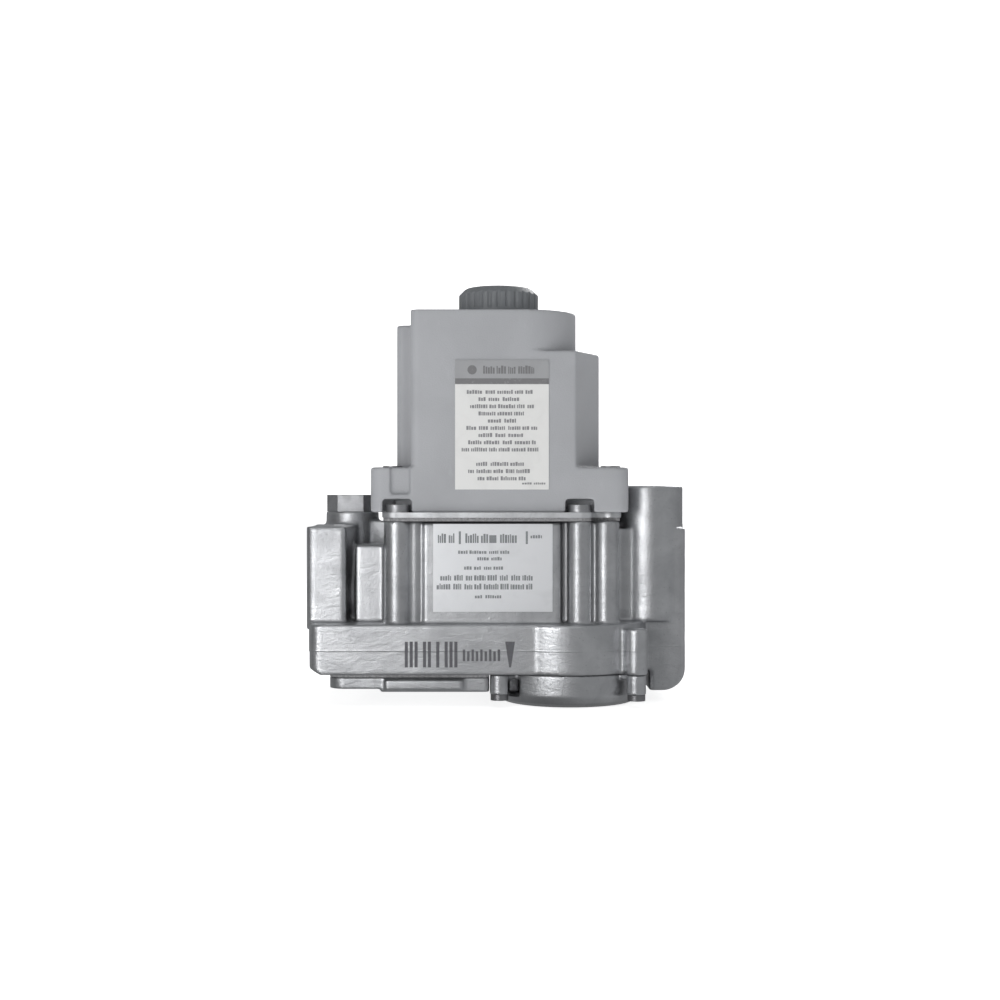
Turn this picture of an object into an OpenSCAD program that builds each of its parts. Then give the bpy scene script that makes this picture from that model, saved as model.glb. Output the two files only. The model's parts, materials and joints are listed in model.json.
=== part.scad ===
// Dual automatic gas valve for a boiler or furnace: a cast body between two pipe ports, a
// solenoid-driven first valve, a servo-driven diaphragm main valve, a pressure regulator in a
// side tower, and a moulded cover with an on/off knob.
// Frame: X runs along the gas flow, from the inlet face to the outlet face. Z is up, and the
// origin is the centre of the inlet port on the inlet face. The rating plate is on the -Y side.

/* [Ports] */
// Distance from the inlet face to the outlet face
face_to_face = 100; // [99.5:0.5:101]
// Radius of the wall of each pipe port
port_r = 10; // [9.4:0.1:10.2]
// Depth of each pipe port
port_depth = 14; // [12:1:14]
// Radius of the four tapped holes round each port
flange_hole_r = 1.6; // [1.2:0.1:1.6]

/* [Body] */
// Height of the casting's top face above the port centre line
body_top = 20; // [20:0.1:20.2]
// Height of the base slab's upper face
slab_top = -6.5; // [-7:0.1:-6]
// Height of the base slab's lower face
slab_bottom = -19.4; // [-19.4:0.1:-19.2]
// Distance of the base slab's left end from the inlet face
slab_left = 1.6; // [1:0.1:2]
// Half depth of the base slab
slab_half_y = 30; // [29:0.5:30]
// Half depth of the upper body between its ribs
wall_half_y = 23.5; // [23:0.1:23.6]
// Radius of the round diaphragm housing
drum_r = 21; // [20.8:0.1:21.4]

/* [Cover] */
// Height of the moulded cover's top face
cover_top = 74.8; // [74:0.2:75]
// Height of the right shoulder of the cover
shoulder_top = 64.2; // [63:0.2:65]
// Height of the cover's flange
flange_top = 34; // [33.6:0.1:34]
// Wall thickness of the cover
cover_wall = 2; // [1.6:0.1:2]
// Half depth of the cover's flange
flange_half_y = 27; // [26.8:0.1:27.2]

/* [Knob] */
// Radius of the on/off knob
knob_r = 10.8; // [10:0.1:11]
// Height of the knob
knob_h = 7.2; // [6.8:0.1:7.6]
// Number of flutes round the knob
flutes = 28; // [20:1:36]

/* [Valves] */
// Lift of the solenoid plunger
plunger_travel = 3; // [2:0.1:3]
// Number of turns of the main valve's spring
main_turns = 6; // [5:1:8]
// Number of turns of the regulator's spring
regulator_turns = 4; // [3:1:5]

/* [Hidden] */
$fn = 64;
eps = 0.05;             // how far a cutter passes the face that it opens
far = 1;                // how far a cutter runs clear of the solid
all_z = [-60, 100];     // heights of a cutter that goes right through
all_y = [-50, 50];      // the same from front to back

// Places of the axes, seen from above
first_at = [40, -3];    // first valve and its solenoid
main_at = [69, -11];    // main valve and its diaphragm
servo_at = [66, 4];     // servo solenoid
knob_at = [50.4, -5];
tower_at = [face_to_face - 8.8, -9.5];
inlet_tap_at = [8.6, 16];
outlet_tap_at = [face_to_face - 8, 9];

// Places of the tapped holes round the ports, from each port's axis
inlet_hole_y = 12.5;
outlet_hole_y = 13.5;
flange_hole_z = 11;

// Stack of the gasket and the steel plate that carries the solenoids
gasket_h = 0.9;
plate_h = 1.4;
plate_bottom = body_top + gasket_h;
plate_top = plate_bottom + plate_h;

// Screw columns at the corners of the steel plate
column_at = [[24.2, -25.5], [71.4, -25.5], [71.4, 25.5], [24.2, 25.5]];
column_r = 3.2;
operator_screw_r = 1.5;
cover_screw_at = [[22.6, -20], [79.8, -20], [79.8, 20], [22.6, 20]];
cover_screw_r = 1.4;
cover_screw_ear_r = 2.8;

// Outline of the cover, seen from above
flange_x = [17.2, 84.3];
flange_corner_r = [3, 4, 4, 3];
main_x = [27.6, 71];    // the tall main part
main_back_y = 16;
step_x = 23.4;          // left end of the step at its left
step_y = [-17, 10];
step_drop = 3;          // how far the step's top lies under the main part's
shoulder_x = 77.2;      // right end of the shoulder at its right
recess_x = [22.4, 27.6];
recess_depth = 1.1;

// First valve
chamber_r = 12;
first_seat_r = 6;
first_seat_z = 6;
first_disc_r = 8.2;
first_disc_h = 2.5;
under_port_at = [36, -2];   // opening from the first valve to the base plate
under_port_r = 6.5;
tube_in = 5.5;
tube_out = 6;
plunger_r = 5.4;
plunger_bottom = first_seat_z + 0.05 + first_disc_h;
pole_bottom = 37.9;
plunger_top = pole_bottom - plunger_travel - 0.1;
coil_bottom = 23;
coil_top = 46;
coil_r = 11.3;
yoke_h = 1.6;
yoke_half_x = 12.4;
yoke_half_y = 7;

// Main valve
main_chamber_r = 10.4;
main_seat_r = 7.5;
main_seat_z = -2.2;
main_disc_r = 9.4;
main_disc_bottom = main_seat_z + 0.05;
main_disc_top = 0.4;
stem_r = 1.6;
bead_r = 18;
membrane_h = 0.8;
diaphragm_top = -17.2;
diaphragm_disc_r = 11.5;
diaphragm_chamber_r = 14;

// Diaphragm cover and base plate under the casting
drum_cover_r = drum_r - 0.6;
drum_cover_bottom = -28;
ear_ring_r = 24.3;
ear_angles = [221, 314, 60, 120];
ear_r = 2.5;
ear_bottom = -24.6;
ear_screw_r = 1.2;
base_x = [6.6, 46.8];
base_half_y = 28;
base_gasket_bottom = slab_bottom - 0.8;
base_bottom = -24;
base_screw_at = [[11.5, -23], [42, -23.5], [42, 23.5], [11.5, 23]];
base_screw_r = 1.4;
base_head_r = 2.7;
base_head_h = 1.1;

// Regulator in the tower at the outlet
tower_r = 8.8;
tower_top = 29.3;
regulator_bore_r = 7.2;
regulator_floor = 13.5;
nozzle_r = 2.5;
regulator_diaphragm_z = [16.2, 16.8];
sleeve_in = 5.3;
sleeve_top = 27;
button_top = 17.4;
seat_z = [20.9, 21.7];
adjuster_top = 24;
cap_head_bottom = 27.9;
cap_plug_bottom = 25.4;

// Pressure taps
tap_boss_r = 7.5;
tap_hole_r = 4.2;
inlet_tap_top = 22.2;
outlet_tap_top = 20;
plug_head_h = 4.8;
plug_across_flats = 12.7;

// Servo valve
servo_pivot = [58.8, 25];      // X and Z of the flapper's pin
flapper_end_x = 72.6;
flapper_y = [-0.5, 8.5];
flapper_h = 1;
servo_nozzle_x = 69.5;
servo_coil_bottom = 27;
servo_coil_top = 43;
servo_coil_r = 7.2;
servo_core_bottom = 26.4;
servo_frame_y = [-2, 10];
servo_frame_x = [56, 74.6];

// Knob shaft, cam and switch
shaft_r = 3;
shaft_bottom = 56;
bushing_r = 5;
knob_bottom = cover_top + 0.8;
cam_r = 9;
cam_disc_z = [59.2, 61];
cam_rest_z = 58.8;             // height of the ramp over the switch button with the knob at rest
cam_drop = 1.5;                // how far the ramp drops over a quarter turn
switch_top = 55;
switch_bottom = 46;
button_radius_at = 7;          // distance of the switch button from the knob's axis

// Terminals
terminal_x = [44, 56];
terminal_y = 21.5;
terminal_slot_x = [38, 62];
terminal_slot_y = [18.6, 24.4];
tab_w = 6.3;
tab_h = 0.8;

// ---------- shared shapes ----------

// A cylinder from one height to another at a place seen from above.
module post(at, r, z) {
    translate([at[0], at[1], z[0]]) cylinder(r = r, h = z[1] - z[0]);
}

// A tube from one height to another.
module ring(at, r_out, r_in, z) {
    difference() {
        post(at, r_out, z);
        post(at, r_in, [z[0] - far, z[1] + far]);
    }
}

// A box given by its ranges.
module block(x, y, z) {
    translate([x[0], y[0], z[0]]) cube([x[1] - x[0], y[1] - y[0], z[1] - z[0]]);
}

// A cylinder along X.
module bore_x(x, y, z, r) {
    translate([x[0], y, z]) rotate([0, 90, 0]) cylinder(r = r, h = x[1] - x[0]);
}

// What a round corner of a rectangle leaves over, at the corner whose centre of curvature is given.
module corner_waste(centre, r, sx, sy) {
    difference() {
        translate([centre[0] + min(0, sx * (r + eps)), centre[1] + min(0, sy * (r + eps))])
            square(r + eps);
        translate(centre) circle(r = r);
    }
}

// A rectangle whose corners have their own radii: front left, front right, back right, back left.
module rounded_rect(x, y, r) {
    difference() {
        translate([x[0], y[0]]) square([x[1] - x[0], y[1] - y[0]]);
        if (r[0] > 0) corner_waste([x[0] + r[0], y[0] + r[0]], r[0], -1, -1);
        if (r[1] > 0) corner_waste([x[1] - r[1], y[0] + r[1]], r[1], 1, -1);
        if (r[2] > 0) corner_waste([x[1] - r[2], y[1] - r[2]], r[2], 1, 1);
        if (r[3] > 0) corner_waste([x[0] + r[3], y[1] - r[3]], r[3], -1, 1);
    }
}

// The same outline as a solid.
module rounded_block(x, y, z, r) {
    translate([0, 0, z[0]]) linear_extrude(height = z[1] - z[0]) rounded_rect(x, y, r);
}

// A round-wire compression spring: rings of points swept up a helix, closed at both ends.
module coil_spring(at, z, r, wire_r, turns, rings = 12, sides = 6) {
    steps = turns * rings;
    rise = z[1] - z[0] - 2 * wire_r;
    points = [
        for (i = [0 : steps]) for (s = [0 : sides - 1])
            let (a = 360 * i / rings, b = 360 * s / sides, d = r + wire_r * cos(b))
            [d * cos(a), d * sin(a), wire_r + rise * i / steps + wire_r * sin(b)]
    ];
    sweep = [
        for (i = [0 : steps - 1]) for (s = [0 : sides - 1])
            let (t = (s + 1) % sides, a = i * sides)
            [a + s, a + sides + s, a + sides + t, a + t]
    ];
    first_end = [for (s = [0 : sides - 1]) s];
    last_end = [for (s = [sides - 1 : -1 : 0]) steps * sides + s];
    translate([at[0], at[1], z[0]])
        polyhedron(points = points, faces = concat(sweep, [first_end, last_end]));
}

// A cross-recess pan-head screw that points down, with its head's underside at z.
module pan_screw(at, z, shank_r, length, head_r, head_h) {
    difference() {
        union() {
            post(at, shank_r, [z - length, z + eps]);
            post(at, head_r, [z, z + head_h]);
        }
        for (turn = [0, 90])
            translate([at[0], at[1], z + head_h * 0.7]) rotate([0, 0, turn + 20])
                cube([head_r * 1.2, head_r * 0.28, head_h], center = true);
    }
}

// The same screw pointing up, with its head's upper side at z.
module pan_screw_up(at, z, shank_r, length, head_r, head_h) {
    translate([0, 0, 2 * z]) mirror([0, 0, 1]) pan_screw(at, z, shank_r, length, head_r, head_h);
}

// Where each ear of the diaphragm cover is.
function ear_at(a) = [main_at[0] + ear_ring_r * cos(a), main_at[1] + ear_ring_r * sin(a)];

// ---------- casting ----------

// The base slab, with the drum at its right front and the column of the drum's free screw.
module slab() {
    y = [-slab_half_y, slab_half_y];
    free_ear = ear_at(ear_angles[1]);
    difference() {
        rounded_block([slab_left, 69], y, [slab_bottom, slab_top], [3, 0, 0, 3]);
        // bevel along the lower left edge
        translate([0, slab_half_y + far, 0]) rotate([90, 0, 0])
            linear_extrude(height = 2 * slab_half_y + 2 * far)
                polygon([[slab_left - far, slab_bottom - far], [slab_left + 3.6, slab_bottom - far],
                         [slab_left + 3, slab_bottom], [slab_left, slab_bottom + 1.6],
                         [slab_left - far, slab_bottom + 2]]);
    }
    rounded_block([60, 84], [main_at[1], slab_half_y], [slab_bottom, slab_top], [0, 0, 8, 0]);
    post(main_at, drum_r, [slab_bottom, slab_top]);
    post(free_ear, ear_r + 0.4, [slab_bottom, slab_top - 1]);
    block([78, free_ear[0]], [free_ear[1] + 0.6, -20], [slab_bottom, slab_top - 1.5]);
}

// The raised body with its screw columns, ribs and the pad that carries the rating plate.
module upper_body() {
    z = [slab_top - far, body_top];
    rounded_block([20.4, 82], [-wall_half_y, wall_half_y], z, [2, 2, 2, 2]);
    block([31, 66.6], [-26.5, -wall_half_y + far], [slab_top - far, body_top - 0.3]);
    for (at = column_at) post(at, column_r, z);
    post([28.8, -24.2], 1.9, z);
    post([28.8, 24.2], 1.9, z);
    post([78.4, -24.3], 3.1, z);
    for (x = [38, 48, 58]) post([x, 23.4], 1.7, z);
}

// The inlet end: a square port boss, the neck, a rib block and the boss for the pressure tap.
module inlet_end() {
    rounded_block([0, 10.5], [-22, 22], [slab_top - 2, 18.5], [2, 1, 1, 2]);
    block([0, 10.5], [-16, 16], [-15, slab_top]);
    bore_x([9, 24], 0, 0, 13.2);
    rounded_block([12.6, 20.8], [-20, 4], [slab_top - far, 13.5], [1, 1, 0, 0]);
    rounded_block([12.6, 20.8], [6, 20], [slab_top - far, 10], [0, 0, 1, 1]);
    post(inlet_tap_at, tap_boss_r, [slab_top - far, inlet_tap_top]);
    // web between the tap boss and the raised body
    block([inlet_tap_at[0], 21], [11, 18], [slab_top - far, body_top - 0.4]);
}

// The outlet end: a port boss with round edges, the regulator tower and the tap boss.
module outlet_end() {
    outlet_y = [-16.5, 19];
    difference() {
        union() {
            rounded_block([82, face_to_face], outlet_y, [slab_bottom, 18], [0, 1.2, 1.2, 0]);
            rounded_block([90.4, face_to_face], outlet_y, [-25, slab_bottom + far], [1, 1.2, 1.2, 1]);
        }
        // round lower right edge
        translate([face_to_face - 6, 0, -19]) rotate([90, 0, 0]) difference() {
            translate([0, -7, -30]) cube([7, 7, 60]);
            translate([0, 0, -31]) cylinder(r = 6, h = 62);
        }
    }
    post(tower_at, tower_r, [slab_top, tower_top]);
    post(outlet_tap_at, 7, [10, outlet_tap_top]);
}

// Gas passages from the inlet port to the outlet port.
module passages() {
    // inlet port, screen pocket and inlet chamber
    bore_x([-far, port_depth], 0, 0, port_r);
    bore_x([port_depth, port_depth + 1], 0, 0, port_r + 0.4);
    bore_x([port_depth, 26], 0, 0, 9);
    block([22, 33], [-8, 5], [-8, 15]);
    // first valve: chamber over the seat, seat bore, chamber under the seat
    difference() {
        post(first_at, chamber_r, [5, body_top + far]);
        ring(first_at, first_seat_r + 1.2, first_seat_r, [5 - far, first_seat_z]);
    }
    post(first_at, first_seat_r, [-1, first_seat_z + far]);
    block([35, 53], [-12, 6], [-13, 3]);
    post(under_port_at, under_port_r, [slab_bottom - far, -12]);
    block([50, 62], [-15, -5], [-2.2, 3]);
    // main valve: chamber over the seat, seat bore, outlet chamber, diaphragm recess
    difference() {
        post(main_at, main_chamber_r, [-3, body_top + far]);
        ring(main_at, main_seat_r + 1.2, main_seat_r, [-3 - far, main_seat_z]);
    }
    post(main_at, main_seat_r, [-8, main_seat_z + far]);
    post(main_at, diaphragm_chamber_r, [slab_bottom - far, -7.2]);
    post(main_at, bead_r, [slab_bottom - far, slab_bottom + 1]);
    block([76, 86], [-8, 7], [-17, -7.6]);
    block([82.5, 85], [-8, 7], [-17, 5]);
    // outlet port
    block([84, face_to_face - port_depth + far], [-6, 6], [-7, 5]);
    bore_x([face_to_face - port_depth, face_to_face + far], 0, 0, port_r);
}

// Blind tapped holes, the regulator's bore and the small sensing passages.
module small_holes() {
    for (side = [-1, 1]) for (z = [-flange_hole_z, flange_hole_z]) {
        bore_x([-far, 8], side * inlet_hole_y, z, flange_hole_r);
        bore_x([face_to_face - 8, face_to_face + far], side * outlet_hole_y, z, flange_hole_r);
    }
    for (at = column_at) post(at, operator_screw_r, [body_top - 13, body_top + far]);
    for (a = ear_angles) post(ear_at(a), ear_screw_r, [slab_bottom - far, slab_bottom + 7]);
    for (at = base_screw_at) post(at, base_screw_r, [slab_bottom - far, slab_bottom + 7]);
    post(inlet_tap_at, tap_hole_r, [14.5, inlet_tap_top + far]);
    post(outlet_tap_at, tap_hole_r, [13.4, outlet_tap_top + far]);
    translate([inlet_tap_at[0] + 1.2, 14, 16]) rotate([150, 0, 0]) cylinder(r = 0.8, h = 13);
    post([outlet_tap_at[0], 6.5], 0.8, [5, 14]);
    post(tower_at, regulator_bore_r, [regulator_floor, tower_top + far]);
    post(tower_at, nozzle_r, [11, regulator_floor + far]);
}

module valve_body() {
    color("silver") difference() {
        union() {
            slab();
            upper_body();
            inlet_end();
            outlet_end();
        }
        passages();
        small_holes();
        // the cover screws end in the open, just under the steel plate
        for (at = cover_screw_at) post(at, cover_screw_r + 0.3, [body_top - 4, body_top + far]);
    }
}

// ---------- under the casting ----------

// The outline shared by the base plate and its gasket.
module base_outline(z) {
    rounded_block(base_x, [-base_half_y, base_half_y], z, [4, 1.5, 1.5, 4]);
    // lug that reaches to the drum's front left ear
    rounded_block([base_x[1] - 4, base_x[1] + 1.2], [-base_half_y, -19], z, [0, 1, 1, 0]);
}

module base_gasket() {
    color("dimgray") difference() {
        base_outline([base_gasket_bottom, slab_bottom]);
        for (at = base_screw_at) post(at, base_screw_r, all_z);
        post(under_port_at, under_port_r, all_z);
    }
}

// Height at which a base plate screw's head seats, sunk in the plate.
function base_seat_z(at) = base_bottom + (at[0] < 20 ? 0.8 : 0) + base_head_h + 0.1;

// Cast plate with a thin end and a raised pad.
module base_plate() {
    color("gray") difference() {
        union() {
            base_outline([base_bottom, base_gasket_bottom]);
            rounded_block([21, 41.5], [-base_half_y - 1, base_half_y - 4],
                          [base_bottom + 0.6, base_gasket_bottom - 0.6], [1, 1, 1, 1]);
        }
        block([4, 20], all_y, [base_bottom - far, base_bottom + 0.8]);
        for (at = base_screw_at) {
            post(at, base_screw_r, all_z);
            post(at, base_head_r + 0.3, [base_bottom - far, base_seat_z(at)]);
        }
    }
}

module base_plate_screws() {
    color("slategray") for (at = base_screw_at)
        pan_screw_up(at, base_seat_z(at), base_screw_r, 8.2, base_head_r, base_head_h);
}

// Round cast cover with a crowned edge, four screw ears and the hollow under the diaphragm.
module diaphragm_cover() {
    z = [drum_cover_bottom, slab_bottom];
    color("gray") difference() {
        union() {
            translate([main_at[0], main_at[1], 0]) rotate_extrude()
                polygon([[0, z[0]], [drum_cover_r - 3.4, z[0]], [drum_cover_r - 1, z[0] + 1.1],
                         [drum_cover_r, z[0] + 3], [drum_cover_r, z[1]], [0, z[1]]]);
            for (a = ear_angles) {
                post(ear_at(a), ear_r, [ear_bottom, slab_bottom]);
                translate([main_at[0], main_at[1], slab_bottom - 1.4]) rotate([0, 0, a])
                    translate([drum_cover_r - 3, -2, 0]) cube([ear_ring_r - drum_cover_r + 2, 4, 1.4]);
            }
        }
        // pocket beside the front left ear
        block([52.9, 55.9], [-40, -17], [slab_bottom - 6, slab_bottom - 1.4]);
        post(main_at, diaphragm_chamber_r, [drum_cover_bottom + 2.5, 0]);
        post(main_at, bead_r, [slab_bottom - 0.4, 0]);
        for (a = ear_angles) post(ear_at(a), ear_screw_r, all_z);
    }
}

module diaphragm_cover_screws() {
    color("slategray") for (a = ear_angles)
        pan_screw_up(ear_at(a), ear_bottom, ear_screw_r, 10.5, 2.3, 1.5);
}

// ---------- main valve ----------

// Moulded membrane: flat centre, one rolled convolution, and the clamped rim.
module main_diaphragm() {
    z = diaphragm_top;
    t = membrane_h;
    rim = [slab_bottom - 0.4, slab_bottom + 1];
    color("darkslategray") translate([main_at[0], main_at[1], 0]) rotate_extrude()
        polygon([[stem_r, z - t], [diaphragm_disc_r, z - t], [12.2, -20.6], [13.4, -20.6],
                 [13.9, rim[0]], [bead_r, rim[0]], [bead_r, rim[1]], [14.4, rim[1]],
                 [13, -19.6], [12.7, -19.6], [diaphragm_disc_r + 0.4, z], [stem_r, z]]);
}

module diaphragm_plate() {
    color("lightgray") difference() {
        union() {
            post(main_at, diaphragm_disc_r, [diaphragm_top, diaphragm_top + 1]);
            post(main_at, 3.4, [diaphragm_top, diaphragm_top + 2.2]);
        }
        post(main_at, stem_r, all_z);
    }
}

module main_stem() {
    membrane_bottom = diaphragm_top - membrane_h;
    color("goldenrod") {
        post(main_at, stem_r, [membrane_bottom - eps, 10]);
        post(main_at, 3, [membrane_bottom - 0.9, membrane_bottom]);
        post(main_at, 3, [main_disc_bottom - 1.4, main_disc_bottom]);
        post(main_at, 3.6, [main_disc_top, main_disc_top + 0.8]);
    }
}

module main_valve_disc() {
    color("darkslategray") ring(main_at, main_disc_r, stem_r, [main_disc_bottom, main_disc_top]);
}

module main_spring() {
    color("lightgray")
        coil_spring(main_at, [main_disc_top, plate_bottom], 5.5, 0.4, main_turns);
}

// ---------- gasket, plate and fasteners on the casting ----------

// Outline shared by the gasket and the steel plate, shrunk all round by a small inset.
module plate_outline(z, inset) {
    rounded_block([20.8 + inset, 74.8 - inset], [-28.6 + inset, 28.6 - inset], z, [3, 3, 3, 3]);
    rounded_block([70, 81.6 - inset], [-22.4 + inset, 22.4 - inset], z, [0, 2, 2, 0]);
    for (at = cover_screw_at) post(at, cover_screw_ear_r - inset, z);
}

module operator_gasket() {
    z = [body_top, plate_bottom];
    color("dimgray") difference() {
        plate_outline(z, 0.3);
        for (at = column_at) post(at, operator_screw_r, all_z);
        for (at = cover_screw_at) post(at, cover_screw_r, all_z);
        post(first_at, chamber_r, all_z);
        post(main_at, main_chamber_r, all_z);
    }
}

module operator_plate() {
    z = [plate_bottom, plate_top];
    color("lightgray") difference() {
        plate_outline(z, 0);
        for (at = column_at) post(at, operator_screw_r, all_z);
        for (at = cover_screw_at) post(at, cover_screw_r, all_z);
        post(first_at, tube_out, all_z);
        post([servo_nozzle_x, servo_at[1]], 0.5, all_z);
    }
}

module operator_screws() {
    color("gainsboro") for (at = column_at)
        pan_screw(at, plate_top, operator_screw_r, 13, 2.9, 2);
}

// ---------- cover ----------

// Outer form of the cover, or its hollow when wall is the wall's thickness.
module cover_form(wall) {
    low = plate_top - (wall > 0 ? far : 0);
    foot = flange_top - far - wall;
    front = -flange_half_y + wall;
    back = main_back_y - wall;
    // flange
    rounded_block([flange_x[0] + wall, flange_x[1] - wall], [front, -front], [low, flange_top - wall],
                  flange_corner_r);
    // main part, round at its right front
    rounded_block([main_x[0] + wall, main_x[1] - wall], [front, back], [foot, cover_top - wall],
                  [2, 14 - wall, 9 - wall, 3]);
    // left step, set back from the front
    rounded_block([step_x + wall, 32], [step_y[0] + wall, step_y[1] - wall],
                  [foot, cover_top - step_drop - wall], [2, 0, 0, 2]);
    // right shoulder, whose front corner slants back
    translate([0, 0, foot]) linear_extrude(height = shoulder_top - flange_top + far)
        polygon([[50, front], [main_x[1] - 0.7 - wall * 0.7, front],
                 [shoulder_x - wall, -14 + wall * 0.3], [shoulder_x - wall, 11],
                 [shoulder_x - 3.2 - wall, back], [50, back]]);
}

module operator_cover() {
    color("slategray") difference() {
        union() {
            difference() {
                cover_form(0);
                cover_form(cover_wall);
            }
            // round wall beside the regulator tower, and walls round the plate's screw heads
            intersection() {
                union() {
                    post(tower_at, tower_r + 2.4, [plate_top, flange_top]);
                    for (at = column_at) post(at, 5.1, [plate_top, plate_top + 4.8]);
                }
                rounded_block(flange_x, [-flange_half_y, flange_half_y], [plate_top, flange_top],
                              flange_corner_r);
            }
            for (at = cover_screw_at) post(at, 3, [plate_top, flange_top - 1]);
            post(knob_at, 7.6, [cover_top - 3, cover_top]);
        }
        post(tower_at, tower_r + 0.5, [0, flange_top + far]);
        for (at = column_at) post(at, 3.9, [0, plate_top + 3.4]);
        for (at = cover_screw_at) {
            post(at, cover_screw_r + 0.2, all_z);
            post(at, 2.8, [flange_top - 0.8, 60]);
        }
        post(knob_at, bushing_r, [cover_top - 10, cover_top + far]);
        post(knob_at, 6.4, [cover_top - 10, cover_top - 2]);
        // shallow recess in the flange under the left step
        block(recess_x, [all_y[0], -flange_half_y + recess_depth],
              [flange_top - 7, flange_top + far]);
        block(terminal_slot_x, terminal_slot_y, [flange_top - 6, flange_top + far]);
    }
}

module cover_screws() {
    color("dimgray") for (at = cover_screw_at)
        pan_screw(at, flange_top - 0.8, cover_screw_r, 14.5, 2.6, 1.2);
}

// ---------- first valve and its solenoid ----------

module first_coil_bobbin() {
    color("ivory") difference() {
        union() {
            post(first_at, 6.7, [coil_bottom, coil_top]);
            post(first_at, coil_r, [coil_bottom, coil_bottom + 1.2]);
            post(first_at, coil_r, [coil_top - 1.2, coil_top]);
        }
        post(first_at, tube_out + 0.1, all_z);
    }
}

module first_coil_winding() {
    color("sienna") ring(first_at, 10.8, 6.7, [coil_bottom + 1.2, coil_top - 1.2]);
}

// Steel strip bent into a U over the coil.
module first_coil_yoke() {
    x = first_at[0];
    y = [first_at[1] - yoke_half_y, first_at[1] + yoke_half_y];
    color("darkgray") difference() {
        block([x - yoke_half_x, x + yoke_half_x], y, [plate_top, coil_top + yoke_h]);
        block([x - coil_r, x + coil_r], [y[0] - far, y[1] + far], [plate_top - far, coil_top]);
        post(first_at, 3, [coil_top - far, 60]);
    }
}

module coil_clip() {
    color("lightgray") ring(first_at, 5.4, 3, [coil_top + yoke_h, coil_top + yoke_h + 0.8]);
}

module core_tube() {
    color("silver") difference() {
        union() {
            post(first_at, tube_out, [plate_bottom - 0.7, coil_top]);
            post(first_at, 8.4, [plate_bottom - 0.7, plate_bottom]);
        }
        post(first_at, tube_in, all_z);
    }
}

module pole_piece() {
    color("lightgray") {
        post(first_at, tube_in - 0.03, [pole_bottom, coil_top]);
        post(first_at, 3, [coil_top - eps, coil_top + yoke_h + 1.6]);
    }
}

module plunger() {
    color("lightgray") difference() {
        post(first_at, plunger_r, [plunger_bottom, plunger_top]);
        post(first_at, 2.7, [28, plunger_top + far]);
    }
}

module plunger_spring() {
    color("gainsboro") coil_spring(first_at, [28, pole_bottom], 2.1, 0.25, 6);
}

module first_valve_disc() {
    color("darkslategray") post(first_at, first_disc_r, [first_seat_z + 0.05, plunger_bottom]);
}

// ---------- servo valve ----------

module servo_coil_bobbin() {
    color("ivory") difference() {
        union() {
            post(servo_at, 3.4, [servo_coil_bottom, servo_coil_top]);
            post(servo_at, servo_coil_r, [servo_coil_bottom, servo_coil_bottom + 1]);
            post(servo_at, servo_coil_r, [servo_coil_top - 1, servo_coil_top]);
        }
        post(servo_at, 2.8, all_z);
    }
}

module servo_coil_winding() {
    color("sienna") ring(servo_at, 6.8, 3.4, [servo_coil_bottom + 1, servo_coil_top - 1]);
}

// Bent steel frame: foot with the pivot ears, upright and top leg.
module servo_frame() {
    x = servo_frame_x;
    y = servo_frame_y;
    top = servo_coil_top + 1.2;
    color("darkgray") difference() {
        union() {
            block(x, y, [plate_top, plate_top + 1]);
            block([x[1] - 1.2, x[1]], y, [plate_top, top]);
            block([servo_at[0] - 4, x[1]], [0, 8], [servo_coil_top, top]);
            for (ear_y = [y[0], y[1] - 1.2])
                block([x[0] + 1, x[0] + 4.6], [ear_y, ear_y + 1.2], [plate_top, servo_pivot[1] + 1.6]);
        }
        post([servo_nozzle_x, servo_at[1]], 1.6, [0, 30]);
        post(servo_at, 2, [servo_coil_top - far, 60]);
        translate([servo_pivot[0], -far - 9, servo_pivot[1]]) rotate([-90, 0, 0])
            cylinder(r = 0.6, h = 40);
    }
}

module servo_core() {
    color("lightgray") {
        post(servo_at, 2.8, [servo_core_bottom, servo_coil_top]);
        post(servo_at, 2, [servo_coil_top - eps, servo_coil_top + 2]);
    }
}

// Steel flapper with a rolled eye at its pivot.
module servo_flapper() {
    mid = servo_pivot[1];
    width = flapper_y[1] - flapper_y[0];
    color("silver") difference() {
        union() {
            block([servo_pivot[0], flapper_end_x], flapper_y, [mid - flapper_h / 2, mid + flapper_h / 2]);
            translate([servo_pivot[0], flapper_y[0], mid]) rotate([-90, 0, 0])
                cylinder(r = 1.35, h = width);
        }
        translate([servo_pivot[0], flapper_y[0] - far, mid]) rotate([-90, 0, 0])
            cylinder(r = 0.65, h = width + 2 * far);
    }
}

module flapper_pin() {
    color("silver") translate([servo_pivot[0], servo_frame_y[0] - 0.3, servo_pivot[1]])
        rotate([-90, 0, 0]) cylinder(r = 0.6, h = servo_frame_y[1] - servo_frame_y[0] + 0.6);
}

module flapper_spring() {
    color("gainsboro") coil_spring([61.8, servo_at[1]],
        [servo_pivot[1] + flapper_h / 2, servo_coil_bottom], 0.9, 0.15, 3);
}

module servo_nozzle() {
    color("goldenrod") ring([servo_nozzle_x, servo_at[1]], 1.6, 0.5,
        [plate_top, servo_pivot[1] - flapper_h / 2 - 0.02]);
}

// ---------- knob, cam and switch ----------

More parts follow.
